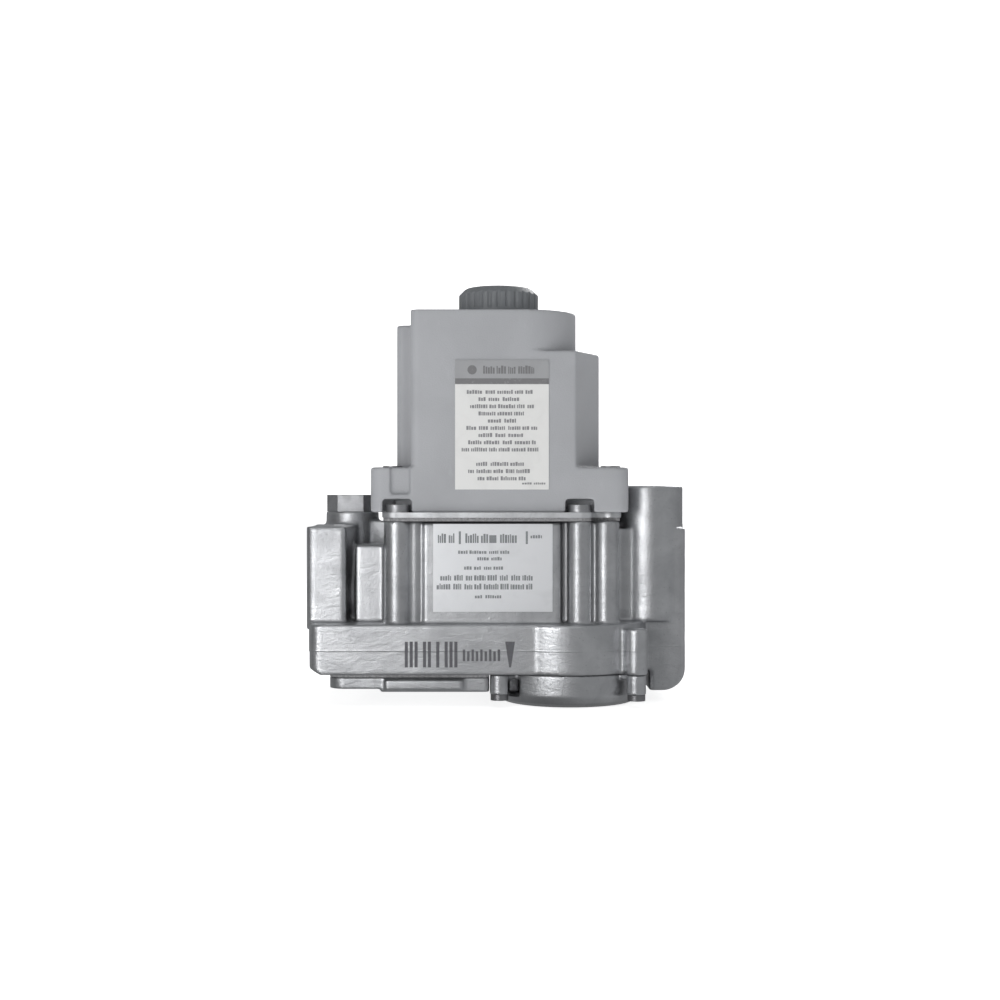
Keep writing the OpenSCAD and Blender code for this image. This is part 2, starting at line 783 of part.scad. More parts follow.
module knob() {
    low = knob_bottom;
    high = knob_bottom + knob_h;
    color("dimgray") difference() {
        translate([knob_at[0], knob_at[1], 0]) rotate_extrude()
            polygon([[0, low], [knob_r - 0.3, low], [knob_r, low + 0.3], [knob_r, high - 1.8],
                     [knob_r - 1.5, high - 0.3], [knob_r - 2.1, high], [0, high]]);
        for (i = [0 : flutes - 1])
            translate([knob_at[0], knob_at[1], low + 1.2]) rotate([0, 0, i * 360 / flutes])
                translate([knob_r + 0.25, 0, 0]) cylinder(r = 0.65, h = knob_h, $fn = 24);
        // finger slot and the bore for the shaft
        translate([knob_at[0] - 6.6, knob_at[1] - 1.3, high - 1.5]) cube([13.2, 2.6, 2]);
        post(knob_at, shaft_r, [low - far, high - 2.6]);
        ring(knob_at, knob_r - 2, 5.2, [low - far, low + 3]);
    }
}

module knob_shaft() {
    color("gainsboro") post(knob_at, shaft_r, [shaft_bottom, knob_bottom + knob_h - 2.6]);
}

// Flanged nylon bush in the cover's top.
module shaft_bushing() {
    color("ivory") difference() {
        union() {
            post(knob_at, bushing_r, [cover_top - 3.4, cover_top + 0.5]);
            post(knob_at, 6.3, [cover_top - 3.4, cover_top - 2]);
        }
        post(knob_at, shaft_r + 0.05, all_z);
    }
}

module shaft_clip() {
    color("silver") difference() {
        ring(knob_at, 5, shaft_r, [cover_top - 4.4, cover_top - 3.6]);
        block([knob_at[0] - 1.6, knob_at[0] + 1.6], [knob_at[1] - 6, knob_at[1]], all_z);
    }
}

// Disc and hub with a ramp under the disc. The ramp is a sector whose lower face falls at a
// constant rate, so the switch button moves in step with the knob.
module switch_cam() {
    inner = 5.2;
    outer = 8.6;
    steps = 20;
    sweep = [-108, 18];
    angle_at = [for (i = [0 : steps]) sweep[0] + (sweep[1] - sweep[0]) * i / steps];
    points = [
        for (a = angle_at) for (corner = [[inner, 0], [outer, 0], [outer, 1], [inner, 1]])
            [corner[0] * cos(a), corner[0] * sin(a),
             corner[1] == 1 ? cam_disc_z[0] + 0.3 : cam_rest_z + cam_drop * a / 90]
    ];
    walls = [
        for (i = [0 : steps - 1]) for (s = [0 : 3])
            let (t = (s + 1) % 4, a = 4 * i) [a + s, a + t, a + 4 + t, a + 4 + s]
    ];
    ends = [[3, 2, 1, 0], [for (s = [0 : 3]) 4 * steps + s]];
    color("ivory") {
        ring(knob_at, cam_r, shaft_r, cam_disc_z);
        ring(knob_at, 5, shaft_r, [57, cam_disc_z[0] + 0.1]);
        translate([knob_at[0], knob_at[1], 0])
            polyhedron(points = points, faces = concat(walls, ends));
    }
}

module switch_body() {
    x = [knob_at[0] + 3.6, knob_at[0] + 19.6];
    y = [knob_at[1] - 4, knob_at[1] + 4];
    color("black") difference() {
        block(x, y, [switch_bottom, switch_top]);
        post([knob_at[0] + button_radius_at, knob_at[1]], 1.05, [50, 60]);
    }
}

module switch_button() {
    color("firebrick") post([knob_at[0] + button_radius_at, knob_at[1]], 1, [53, cam_rest_z - 0.2]);
}

// Sheet bracket that holds the switch up from the steel plate.
module switch_bracket() {
    y = knob_at[1] - 4;
    color("silver") {
        block([54, 58], [y - 1.2, y], [plate_top, switch_top - 1]);
        block([54, 58], [y - 5, y - 1], [plate_top, plate_top + 1.2]);
    }
}

// ---------- terminals ----------

module tab(x, z) {
    block([x - tab_w / 2, x + tab_w / 2], [terminal_y - tab_h / 2, terminal_y + tab_h / 2], z);
}

module terminal_block() {
    color("black") difference() {
        union() {
            block(terminal_slot_x, terminal_slot_y, [27.5, flange_top + eps]);
            rounded_block([36.6, 63.4], [17.4, 25.8], [flange_top, flange_top + 1.8], [1, 1, 1, 1]);
            block([49.2, 50.8], [18.4, 24.8], [flange_top, flange_top + 6]);
        }
        for (x = terminal_x) tab(x, all_z);
    }
}

module terminal_tabs() {
    top = flange_top + 10;
    color("gold") for (x = terminal_x) difference() {
        tab(x, [25, top]);
        translate([x, terminal_y + 2, top - 3]) rotate([90, 0, 0]) cylinder(r = 0.8, h = 4);
        for (side = [-1, 1]) translate([x + side * tab_w / 2, terminal_y, top]) rotate([0, 45, 0])
            cube([1.6, 2, 1.6], center = true);
    }
}

// Two insulated wires from the tabs to the first coil.
module coil_leads() {
    wire_r = 0.6;
    z = 26.2;
    end_y = terminal_y - tab_h / 2;
    near_y = 7.4;
    turn_y = 6;
    far_x = terminal_x[1];
    color("firebrick") {
        translate([terminal_x[0], near_y, z]) rotate([-90, 0, 0])
            cylinder(r = wire_r, h = end_y - near_y);
        translate([far_x, turn_y, z]) rotate([-90, 0, 0]) cylinder(r = wire_r, h = end_y - turn_y);
        translate([far_x, turn_y, z]) sphere(r = wire_r);
        bore_x([47.4, far_x], turn_y, z, wire_r);
    }
}

// ---------- regulator ----------

module regulator_nozzle() {
    color("goldenrod") ring(tower_at, nozzle_r, 0.6, [11, 15]);
}

// Seat disc under the membrane and spring cup over it, on one short stem.
module regulator_button() {
    color("goldenrod") {
        post(tower_at, 2.2, [15.05, regulator_diaphragm_z[0]]);
        post(tower_at, 1, [15.05, button_top]);
        post(tower_at, 4.2, [regulator_diaphragm_z[1], button_top]);
    }
}

module regulator_diaphragm() {
    color("darkslategray") ring(tower_at, regulator_bore_r, 1, regulator_diaphragm_z);
}

module regulator_sleeve() {
    color("silver") ring(tower_at, regulator_bore_r, sleeve_in, [regulator_diaphragm_z[1], sleeve_top]);
}

module regulator_spring() {
    color("gainsboro") coil_spring(tower_at, [button_top, seat_z[0]], 2.6, 0.25, regulator_turns);
}

module spring_seat() {
    color("silver") post(tower_at, 3.9, seat_z);
}

module adjusting_screw() {
    color("whitesmoke") difference() {
        post(tower_at, sleeve_in - 0.05, [seat_z[1] + 0.02, adjuster_top]);
        translate([tower_at[0], tower_at[1], adjuster_top]) cube([8, 1.4, 2.4], center = true);
    }
}

module cap_seal() {
    r = 0.45;
    color("black") translate([tower_at[0], tower_at[1], sleeve_top + r]) rotate_extrude()
        translate([6.2, 0]) circle(r = r, $fn = 24);
}

// Slotted cap with a short threaded plug.
module regulator_cap() {
    color("silver") difference() {
        union() {
            post(tower_at, 7, [cap_head_bottom, tower_top]);
            post(tower_at, sleeve_in - 0.05, [cap_plug_bottom, cap_head_bottom + eps]);
        }
        translate([tower_at[0], tower_at[1], tower_top]) rotate([0, 0, 35])
            cube([16, 1.6, 1.8], center = true);
    }
}

// ---------- inlet screen, tap plugs and plates ----------

// Round screen with rows of holes.
module inlet_screen() {
    r = port_r + 0.35;
    pitch = 2.6;
    color("silver") difference() {
        bore_x([port_depth + 0.1, port_depth + 0.7], 0, 0, r);
        for (i = [-3 : 3]) for (j = [-3 : 3])
            if (norm([i, j]) * pitch < r - 1.6)
                bore_x([port_depth - far, port_depth + 2], i * pitch, j * pitch, 0.9);
    }
}

// Hex-headed taper plug, its head standing on the boss.
module tap_plug(at, z) {
    color("gainsboro") {
        post(at, tap_hole_r, [z - 5.2, z + eps]);
        translate([at[0], at[1], z]) cylinder(d = plug_across_flats / cos(30), h = plug_head_h, $fn = 6);
    }
}

module inlet_tap_plug() {
    tap_plug(inlet_tap_at, inlet_tap_top);
}

module outlet_tap_plug() {
    tap_plug(outlet_tap_at, outlet_tap_top);
}

module cover_label() {
    color("whitesmoke") block([39.2, 63.4], [-flange_half_y - 0.25, -flange_half_y], [28.2, 61.6]);
}

module rating_plate() {
    color("white") block([33.5, 64.4], [-26.75, -26.5], [-3.4, 19.3]);
}

// ---------- nodes ----------

valve_body();
base_gasket();
base_plate();
base_plate_screws();
diaphragm_cover();
diaphragm_cover_screws();
main_diaphragm();
diaphragm_plate();
main_stem();
main_valve_disc();
main_spring();
operator_gasket();
operator_plate();
operator_screws();
operator_cover();
cover_screws();
first_coil_bobbin();
first_coil_winding();
first_coil_yoke();
coil_clip();
core_tube();
pole_piece();
plunger();
plunger_spring();
first_valve_disc();
servo_coil_bobbin();
servo_coil_winding();
servo_frame();
servo_core();
servo_flapper();
flapper_pin();
flapper_spring();
servo_nozzle();
knob();
knob_shaft();
shaft_bushing();
shaft_clip();
switch_cam();
switch_body();
switch_button();
switch_bracket();
terminal_block();
terminal_tabs();
coil_leads();
regulator_nozzle();
regulator_button();
regulator_diaphragm();
regulator_sleeve();
regulator_spring();
spring_seat();
adjusting_screw();
cap_seal();
regulator_cap();
inlet_screen();
inlet_tap_plug();
outlet_tap_plug();
cover_label();
rating_plate();
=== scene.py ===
"""Gas valve: finishes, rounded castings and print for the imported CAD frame.

X runs from the inlet to the outlet, Z is up, and the side with the rating plate faces -Y.
Lengths are in metres, and MM turns millimetres into metres.
"""

import json
import math
import random

import bmesh
import bpy
from mathutils import Matrix, Vector


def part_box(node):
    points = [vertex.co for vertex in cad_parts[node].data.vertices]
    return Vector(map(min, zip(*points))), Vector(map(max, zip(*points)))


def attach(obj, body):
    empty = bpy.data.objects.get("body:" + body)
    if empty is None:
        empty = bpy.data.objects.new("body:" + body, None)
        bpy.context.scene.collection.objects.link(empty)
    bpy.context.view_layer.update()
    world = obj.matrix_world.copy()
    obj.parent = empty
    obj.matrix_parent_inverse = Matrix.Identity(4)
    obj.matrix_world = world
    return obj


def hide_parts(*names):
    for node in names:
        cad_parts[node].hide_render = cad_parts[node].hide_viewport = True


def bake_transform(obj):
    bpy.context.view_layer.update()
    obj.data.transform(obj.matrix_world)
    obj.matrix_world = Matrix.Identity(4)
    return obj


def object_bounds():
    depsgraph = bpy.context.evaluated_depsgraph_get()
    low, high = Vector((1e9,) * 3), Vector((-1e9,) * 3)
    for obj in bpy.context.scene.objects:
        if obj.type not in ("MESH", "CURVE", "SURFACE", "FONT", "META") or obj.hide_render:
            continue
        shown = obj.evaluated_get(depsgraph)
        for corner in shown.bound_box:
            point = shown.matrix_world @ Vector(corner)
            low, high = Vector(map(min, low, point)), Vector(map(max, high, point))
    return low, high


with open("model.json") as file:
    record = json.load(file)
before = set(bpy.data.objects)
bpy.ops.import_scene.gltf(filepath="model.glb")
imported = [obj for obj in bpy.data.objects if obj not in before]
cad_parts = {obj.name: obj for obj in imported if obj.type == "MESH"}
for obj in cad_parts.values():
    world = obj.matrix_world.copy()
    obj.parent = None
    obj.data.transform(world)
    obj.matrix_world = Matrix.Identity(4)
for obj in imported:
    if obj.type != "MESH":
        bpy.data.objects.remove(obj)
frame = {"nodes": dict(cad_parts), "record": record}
CAD_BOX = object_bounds()
MM = 0.001
SLAB_SET_BACK = 2.0 * MM  # from the drum's front to the slab's
INLET_BOSS_TOP = 18.5 * MM
SAME_POINT = 1e-7  # points of a CAD mesh this near each other are one point
WHOLE_SPRINGS = ("main_spring", "plunger_spring", "flapper_spring")  # one end on the valve

# ---------------------------------------------------------------- camera

EYE = Vector((0.0508, -0.420, 0.0255))
FOCAL_PER_FRAME = 1.522  # focal length over sensor width
SENSOR = 36.0


def add_camera():
    """A level camera in front of the rating plate, halfway up the valve."""
    data = bpy.data.cameras.new("camera")
    data.sensor_width = SENSOR
    data.lens = SENSOR * FOCAL_PER_FRAME
    data.clip_start = 0.01
    data.clip_end = 50
    camera = bpy.data.objects.new("camera", data)
    camera.location = EYE
    camera.rotation_euler = (math.radians(90), 0, 0)
    bpy.context.scene.collection.objects.link(camera)
    bpy.context.scene.camera = camera


# ---------------------------------------------------------------- light

LIGHTS = (  # name, place, width and watts
    ("key_left", (-0.11, -0.37, 0.02), 0.15, 0.33),
    ("close_left", (-0.17, -0.30, 0.08), 0.12, 0.12),
    ("front_high", (-0.08, -0.50, 0.60), 0.35, 0.40),
    ("rear_high", (0.30, 0.50, 0.42), 0.40, 1.60),
)

VALVE_MIDDLE = Vector((0.05, 0, 0.025))
REAR_GLOW = 0.30  # strength of the world's light from behind the valve
LEFT_GLOW = 0.18  # and from the left and the right of the camera's side
RIGHT_GLOW = 0.38
FLOOR_GLOW = 0.80
WALL_GLOW = 1.0
WALL_RADIUS = 3.0
STAGE_SIDES = 96


# ---------------------------------------------------------------- shader building


class Finish:
    """A material whose node tree is built up a step at a time, in object coordinates."""

    def __init__(self, name, metallic=0.0, roughness=0.5, **constants):
        self.material = bpy.data.materials.new(name)
        self.material.use_nodes = True
        self.tree = self.material.node_tree
        self.shader = self.tree.nodes["Principled BSDF"]
        self.shader.inputs["Metallic"].default_value = metallic
        self.shader.inputs["Roughness"].default_value = roughness
        for socket, value in constants.items():
            self.shader.inputs[socket.replace("_", " ")].default_value = value
        self.place = self.node("TexCoord").outputs["Object"]
        self.normal = None

    def node(self, kind, **settings):
        """A new shader node with these settings."""
        made = self.tree.nodes.new("ShaderNode" + kind)
        for key, value in settings.items():
            setattr(made, key, value)
        return made

    def link(self, source, target):
        self.tree.links.new(source, target)

    def stretched(self, scale, place=None):
        """The object coordinates, scaled by a different factor along each axis."""
        mapping = self.node("Mapping")
        mapping.inputs["Scale"].default_value = scale
        self.link(place or self.place, mapping.inputs["Vector"])
        return mapping.outputs["Vector"]

    def noise(self, per_metre, detail=3.0, roughness=0.55, distortion=0.0, place=None):
        made = self.node("TexNoise")
        made.inputs["Scale"].default_value = per_metre
        made.inputs["Detail"].default_value = detail
        made.inputs["Roughness"].default_value = roughness
        made.inputs["Distortion"].default_value = distortion
        self.link(place or self.place, made.inputs["Vector"])
        return made.outputs["Fac"]

    def cells(self, per_metre, place=None):
        made = self.node("TexVoronoi")
        made.inputs["Scale"].default_value = per_metre
        self.link(place or self.place, made.inputs["Vector"])
        return made.outputs["Distance"]

    def spread(self, value, low, high, to_low=0.0, to_high=1.0):
        """Maps a value from one range to another, and keeps it there."""
        made = self.node("MapRange")
        self.link(value, made.inputs["Value"])
        for socket, number in zip(("From Min", "From Max", "To Min", "To Max"),
                                  (low, high, to_low, to_high)):
            made.inputs[socket].default_value = number
        return made.outputs["Result"]

    def maths(self, operation, a, b=None):
        made = self.node("Math", operation=operation)
        for socket, value in zip(made.inputs, (a, b)):
            if isinstance(value, (int, float)):
                socket.default_value = value
            elif value is not None:
                self.link(value, socket)
        return made.outputs["Value"]

    def mix(self, factor, a, b, blend="MIX"):
        """Colour a where the factor is 0 and colour b where it is 1."""
        made = self.node("MixRGB", blend_type=blend)
        for socket, value in zip(made.inputs, (factor, a, b)):
            if isinstance(value, tuple):
                socket.default_value = (*value, 1.0)
            elif isinstance(value, (int, float)):
                socket.default_value = value
            else:
                self.link(value, socket)
        return made.outputs["Color"]

    def soft_edges(self, radius):
        """Light rolls over edges of this radius, where the mesh has them sharp."""
        made = self.node("Bevel", samples=4)
        made.inputs["Radius"].default_value = radius
        self.normal = made.outputs["Normal"]

    def bump(self, height, depth, strength=1.0):
        made = self.node("Bump")
        made.inputs["Strength"].default_value = strength
        made.inputs["Distance"].default_value = depth
        self.link(height, made.inputs["Height"])
        if self.normal is not None:
            self.link(self.normal, made.inputs["Normal"])
        self.normal = made.outputs["Normal"]

    def crevice(self, distance):
        """0 deep in a corner or groove and 1 in the open."""
        made = self.node("AmbientOcclusion", samples=6)
        made.inputs["Distance"].default_value = distance
        return made.outputs["AO"]

    def done(self, colour, roughness=None):
        """Joins the colour, roughness and normal to the shader and gives the material."""
        if isinstance(colour, tuple):
            self.shader.inputs["Base Color"].default_value = (*colour, 1.0)
        else:
            self.link(colour, self.shader.inputs["Base Color"])
        if roughness is not None:
            self.link(roughness, self.shader.inputs["Roughness"])
        if self.normal is not None:
            self.link(self.normal, self.shader.inputs["Normal"])
        return self.material


# ---------------------------------------------------------------- finishes


def cast_aluminium(name, tone=1.0, tooling_line=None):
    """Die-cast surface: fine grain, flow marks, specks, and painted shade that darkens the grooves and
    corners.

    tooling_line is the height of the fine ridge where the mould's halves met.
    """
    f = Finish(name, metallic=1.0)
    clouds = f.noise(90, detail=4, roughness=0.6, distortion=0.6)
    grain = f.noise(1500, detail=4, roughness=0.7)
    flow = f.noise(160, detail=5, roughness=0.6, distortion=1.2, place=f.stretched((1, 1, 2.6)))
    specks = f.spread(f.cells(700), 0.06, 0.16)
    light = tuple(tone * c for c in (0.80, 0.81, 0.83))
    dull = tuple(tone * c for c in (0.62, 0.63, 0.65))
    streak = tuple(tone * c for c in (0.52, 0.53, 0.55))
    speck_depth = f.maths("MULTIPLY", f.maths("SUBTRACT", 1.0, specks), 0.35)
    # painted shade: 0 deep in grooves and corners within 4 mm, 1 in the open
    clear_of_painted_shade = f.spread(f.crevice(4 * MM), 0.25, 0.85)
    colour = f.mix(f.spread(clouds, 0.35, 0.68), light, dull)
    colour = f.mix(f.spread(flow, 0.55, 0.75, 0.0, 0.35), colour, streak)
    colour = f.mix(speck_depth, colour, (0.30, 0.30, 0.31))
    # painted shade: the colour darkens towards grey in grooves and corners, where shade falls
    colour = f.mix(clear_of_painted_shade, f.mix(0.55, colour, (0.24, 0.24, 0.245)), colour)
    mottle = f.maths("ADD", f.maths("MULTIPLY", grain, 0.5), f.maths("MULTIPLY", clouds, 0.5))
    rough = f.spread(mottle, 0.3, 0.7, 0.32, 0.48)
    f.bump(grain, 0.10 * MM, 0.55)
    f.bump(flow, 0.30 * MM, 0.35)
    if tooling_line is not None:
        z = f.node("SeparateXYZ")
        f.link(f.place, z.inputs["Vector"])
        off = f.maths("ABSOLUTE", f.maths("SUBTRACT", z.outputs["Z"], tooling_line))
        f.bump(f.spread(off, 0.0, 0.3 * MM, 1.0, 0.0), 0.08 * MM, 0.6)
    return f.done(colour, rough)


def moulded_plastic(name, colour, roughness=0.55, texture=0.12, edge=None):
    """Spark-textured moulded plastic with faint flow shades and scuffs."""
    f = Finish(name, roughness=roughness, IOR=1.47)
    if edge:
        f.soft_edges(edge)
    clouds = f.noise(45, detail=3, distortion=0.4)
    texture_noise = f.noise(2600, detail=3, roughness=0.6)
    scratches = f.noise(420, detail=6, roughness=0.7, place=f.stretched((1, 1, 0.35)))
    scuffs = f.spread(scratches, 0.60, 0.78)
    darker = tuple(0.88 * c for c in colour)
    paler = tuple(min(1.0, 1.18 * c + 0.01) for c in colour)
    tone = f.mix(f.spread(clouds, 0.3, 0.7), colour, darker)
    tone = f.mix(f.maths("MULTIPLY", scuffs, 0.35), tone, paler)
    rough = f.spread(texture_noise, 0.3, 0.7, roughness - 0.07, roughness + 0.08)
    f.bump(texture_noise, texture * MM, 0.5)
    return f.done(tone, rough)


def machined_steel(name, colour, roughness=0.3, edge=0.15, along=(1, 1, 12)):
    """Plated steel: fine drawn lines, slight tarnish, and edges that catch the light."""
    f = Finish(name, metallic=1.0, roughness=roughness)
    f.soft_edges(edge * MM)
    lines = f.noise(900, detail=4, roughness=0.7, place=f.stretched(along))
    tarnish = f.noise(210, detail=4, distortion=0.5)
    tone = f.mix(f.spread(tarnish, 0.4, 0.7), colour, tuple(0.78 * c for c in colour))
    tone = f.mix(f.spread(lines, 0.45, 0.75, 0.0, 0.25), tone, tuple(0.6 * c for c in colour))
    rough = f.spread(f.maths("ADD", lines, tarnish), 0.7, 1.3, roughness - 0.06, roughness + 0.14)
    f.bump(lines, 0.03 * MM, 0.3)
    return f.done(tone, rough)


def soft_sheet(name, colour, per_metre=1800, roughness=0.8):
    """Rubber or gasket fibre: dull, with a felted grain."""
    f = Finish(name, roughness=roughness)
    fibres = f.noise(per_metre, detail=5, roughness=0.75, distortion=0.3)
    tone = f.mix(f.spread(fibres, 0.4, 0.65), colour, tuple(1.9 * c for c in colour))
    f.bump(fibres, 0.08 * MM, 0.5)
    return f.done(tone)


def enamelled_winding(name):
    """Layers of lacquered copper wire, laid as rings up the coil."""
    f = Finish(name, metallic=0.9, roughness=0.28, Coat_Weight=0.6, Coat_Roughness=0.12)
    z = f.node("SeparateXYZ")
    f.link(f.place, z.inputs["Vector"])
    wire_pitch = 0.35 * MM
    wires = f.maths("SINE", f.maths("MULTIPLY", z.outputs["Z"], 2 * math.pi / wire_pitch))
    # painted shade: the colour darkens into the grooves between wire turns and pales on the crests
    tone = f.mix(f.spread(wires, -1, 1), (0.16, 0.045, 0.012), (0.62, 0.21, 0.07))
    f.bump(wires, 0.08 * MM, 0.8)
    return f.done(tone)


def printed_film(name, base, metallic=0.0, roughness=0.35, crinkle=0.06):
    """Label stock with a faint weave, small creases and slight stains."""
    f = Finish(name, metallic=metallic, roughness=roughness, Coat_Weight=0.15, Coat_Roughness=0.3)
    stain = f.noise(120, detail=5, distortion=0.8)
    weave = f.noise(3000, detail=2)
    crease = f.noise(140, detail=3, distortion=1.5)
    tone = f.mix(f.spread(stain, 0.5, 0.75, 0.0, 0.5), base, tuple(0.84 * c for c in base))
    rough = f.spread(weave, 0.3, 0.7, roughness - 0.05, roughness + 0.1)
    f.bump(crease, crinkle * MM, 0.6)
    return f.done(tone, rough)


def printing_ink(name, colour):
    """Thin worn ink, with pinholes that show a lighter tone."""
    f = Finish(name, roughness=0.6)
    worn = f.spread(f.noise(1300, detail=4, roughness=0.7), 0.56, 0.74)
    faded = tuple(min(1.0, 1.7 * c + 0.05) for c in colour)
    return f.done(f.mix(f.maths("MULTIPLY", worn, 0.5), colour, faded))


# ---------------------------------------------------------------- geometry helpers


def add_piece(name, mesh, material, body, hides=()):
    """A visible piece that rides a body, in place of the CAD nodes that it hides."""
    piece = bpy.data.objects.new(name, mesh)
    bpy.context.scene.collection.objects.link(piece)
    piece.data.materials.clear()
    piece.data.materials.append(material)
    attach(piece, body)
    if hides:
        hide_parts(*hides)
    return piece


def mesh_from(build, name):
    """The mesh of a finished bmesh, which is freed."""
    mesh = bpy.data.meshes.new(name)
    build.to_mesh(mesh)
    build.free()
    return mesh


def solid_mesh(node, name, extras=()):
    """The mesh of a CAD solid and its extras, with the corners that faces share joined."""
    build = bmesh.new()
    build.from_mesh(frame["nodes"][node].data)
    for extra in extras:
        build.from_mesh(extra)
    bmesh.ops.remove_doubles(build, verts=build.verts, dist=SAME_POINT)
    return mesh_from(build, name)


def rounded_copy(node, name, material, body, voxel, passes, most, extras=()):
    """A copy of a CAD solid whose edges and inside corners are rounded, as a mould leaves them.

    passes is how often the remeshed surface is smoothed, most is the number of triangles to
    keep, and extras are meshes that grow out of the solid.
    """
    rough = bpy.data.objects.new(name + "_rough", solid_mesh(node, name, extras))
    bpy.context.scene.collection.objects.link(rough)
    remesh = rough.modifiers.new("remesh", "REMESH")
    remesh.mode = "VOXEL"
    remesh.voxel_size = voxel
    smooth = rough.modifiers.new("smooth", "SMOOTH")
    smooth.factor = 0.5
    smooth.iterations = passes
    shape = evaluated(rough)
    count = sum(len(p.vertices) - 2 for p in shape.polygons)
    rough.modifiers.clear()
    rough.data = shape
    if count > most:
        thin = rough.modifiers.new("thin", "DECIMATE")
        thin.ratio = most / count
    shape = evaluated(rough)
    bpy.data.objects.remove(rough)
    shape.shade_smooth()
    shape.name = name
    piece = add_piece(name, shape, material, body, (node,))
    weighted = piece.modifiers.new("weighted", "WEIGHTED_NORMAL")
    weighted.keep_sharp = False
    weighted.weight = 60
    return piece


def evaluated(piece):
    """The mesh of an object with its modifiers applied."""
    graph = bpy.context.evaluated_depsgraph_get()
    graph.update()
    return bpy.data.meshes.new_from_object(piece.evaluated_get(graph))


def prism(outline, low, high):
    """A mesh between two level planes, from an outline of (x, y) points."""
    build = bmesh.new()
    rings = [[build.verts.new((x, y, z)) for x, y in outline] for z in (low, high)]
    count = len(outline)
    for i in range(count):
        j = (i + 1) % count
        build.faces.new((rings[0][i], rings[0][j], rings[1][j], rings[1][i]))
    build.faces.new(list(reversed(rings[0])))
    build.faces.new(rings[1])
    bmesh.ops.recalc_face_normals(build, faces=build.faces)
    return mesh_from(build, "prism")


def flow_arrow(x, y, low, high, length):
    """A flat arrow that points along the gas flow, from its tail's middle at x, y."""
    half = length * 0.13
    head = length * 0.34
    neck = x + length * 0.58
    outline = [(x, y - half), (neck, y - half), (neck, y - head), (x + length, y),
               (neck, y + head), (neck, y + half), (x, y + half)]
    return prism(outline, low, high)


class Print:
    """Ink on a face that looks to -Y: bars and outlines, each a thin raised plate."""

    sunk = 0.02 * MM

    def __init__(self, y, lift=0.03 * MM):
        self.y = y
        self.lift = lift
        self.build = bmesh.new()

    def shape(self, outline):
        """A plate from an outline of (x, z) points."""
        front = [self.build.verts.new((x, self.y - self.lift, z)) for x, z in outline]
        back = [self.build.verts.new((x, self.y + self.sunk, z)) for x, z in outline]
        count = len(outline)
        for i in range(count):
            j = (i + 1) % count
            self.build.faces.new((back[i], back[j], front[j], front[i]))
        self.build.faces.new(front)
        self.build.faces.new(list(reversed(back)))

    def bar(self, x_from, x_to, z_from, z_to):
        self.shape([(x_from, z_from), (x_to, z_from), (x_to, z_to), (x_from, z_to)])

    def words(self, centre, width, z, height, seed, gap=0.5 * MM):
        """A centred row of short strokes in word-like groups, which say nothing."""
        rng = random.Random(seed)
        x = centre - width / 2
        end = centre + width / 2
        while x < end - 0.8 * MM:
            word = min(end, x + rng.uniform(1.6, 4.6) * MM)
            while x < word - 0.25 * MM:
                stroke = rng.uniform(0.28, 0.62) * MM
                rise = height * rng.uniform(0.72, 1.0)
                self.bar(x, min(x + stroke, word), z, z + rise)
                x += stroke + 0.16 * MM
            x = word + gap

    def mesh(self, name):
        """The mesh of everything printed so far."""
        bmesh.ops.recalc_face_normals(self.build, faces=self.build.faces)
        return mesh_from(self.build, name)


# ---------------------------------------------------------------- pieces


def add_castings():
    """The body with its flow arrow, and the two lids beneath it."""
    body_metal = cast_aluminium("cast_body", tone=0.80, tooling_line=-13.2 * MM)
    lid_metal = cast_aluminium("cast_lids", tone=0.78)
    arrow = flow_arrow(1.2 * MM, -8 * MM, INLET_BOSS_TOP - 0.6 * MM, INLET_BOSS_TOP + 0.45 * MM, 8 * MM)
    rounded_copy("valve_body", "casting", body_metal, "valve",
                 voxel=0.46 * MM, passes=4, most=140000, extras=(arrow,))
    rounded_copy("diaphragm_cover", "drum_cover", lid_metal, "valve",
                 voxel=0.34 * MM, passes=3, most=50000)
    rounded_copy("base_plate", "foot_plate", lid_metal, "valve",
                 voxel=0.34 * MM, passes=3, most=40000)


def add_cover():
    """The moulded grey cover over the coils."""
    grey = moulded_plastic("cover_plastic", (0.375, 0.382, 0.40), roughness=0.5)
    rounded_copy("operator_cover", "cover_shell", grey, "valve",
                 voxel=0.42 * MM, passes=3, most=110000)


def add_knob():
    """The fluted on/off knob."""
    dark = moulded_plastic("knob_plastic", (0.21, 0.221, 0.233), roughness=0.42)
    rounded_copy("knob", "knob_grip", dark, "knob",
                 voxel=0.17 * MM, passes=2, most=60000)


